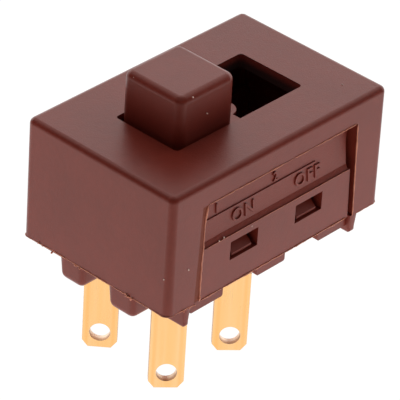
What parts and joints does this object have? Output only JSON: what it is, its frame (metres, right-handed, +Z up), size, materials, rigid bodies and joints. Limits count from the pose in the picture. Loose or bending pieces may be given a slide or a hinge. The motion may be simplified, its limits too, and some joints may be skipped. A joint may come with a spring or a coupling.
{
  "type": "slide switch",
  "caption": "Two-pole slide switch: moulded snap-fit cover with a square sliding button, hooked base, sprung bridging contacts and twisted solder lugs.",
  "frame": {"origin": "centre of the bounding box at its bottom: midway along and across the cover, at the height of the four blade tips", "axes": "+X along the slider's travel, from where the button stands at rest towards the slot's free end; +Y across, towards the rear long side; +Z up, out of the cover's top face"},
  "size_m": [0.0232, 0.015, 0.0247],
  "materials": {
    "moulding": "dark reddish brown thermoset moulding, satin gloss",
    "terminal_brass": "bright rolled brass strip",
    "contact_silver": "silver contact metal, satin",
    "bridge_copper": "copper alloy strip",
    "spring_steel": "drawn steel wire"
  },
  "bodies": {
    "housing": {"cover": "moulding", "base": "moulding", "terminal_front_end": "terminal_brass", "terminal_front_common": "terminal_brass", "terminal_rear_end": "terminal_brass", "terminal_rear_common": "terminal_brass", "rivet_front_end": "contact_silver", "rivet_front_common": "contact_silver", "rivet_rear_end": "contact_silver", "rivet_rear_common": "contact_silver"},
    "slider": {"slider": "moulding", "bridge_front": "bridge_copper", "bridge_rear": "bridge_copper", "tip_front_end": "contact_silver", "tip_front_common": "contact_silver", "tip_rear_end": "contact_silver", "tip_rear_common": "contact_silver", "spring_front": "spring_steel", "spring_rear": "spring_steel"}
  },
  "joints": [
    {"name": "slider_travel", "type": "slide", "parent": "housing", "child": "slider", "axis": [1, 0, 0], "range_m": [0, 0.007]}
  ]
}
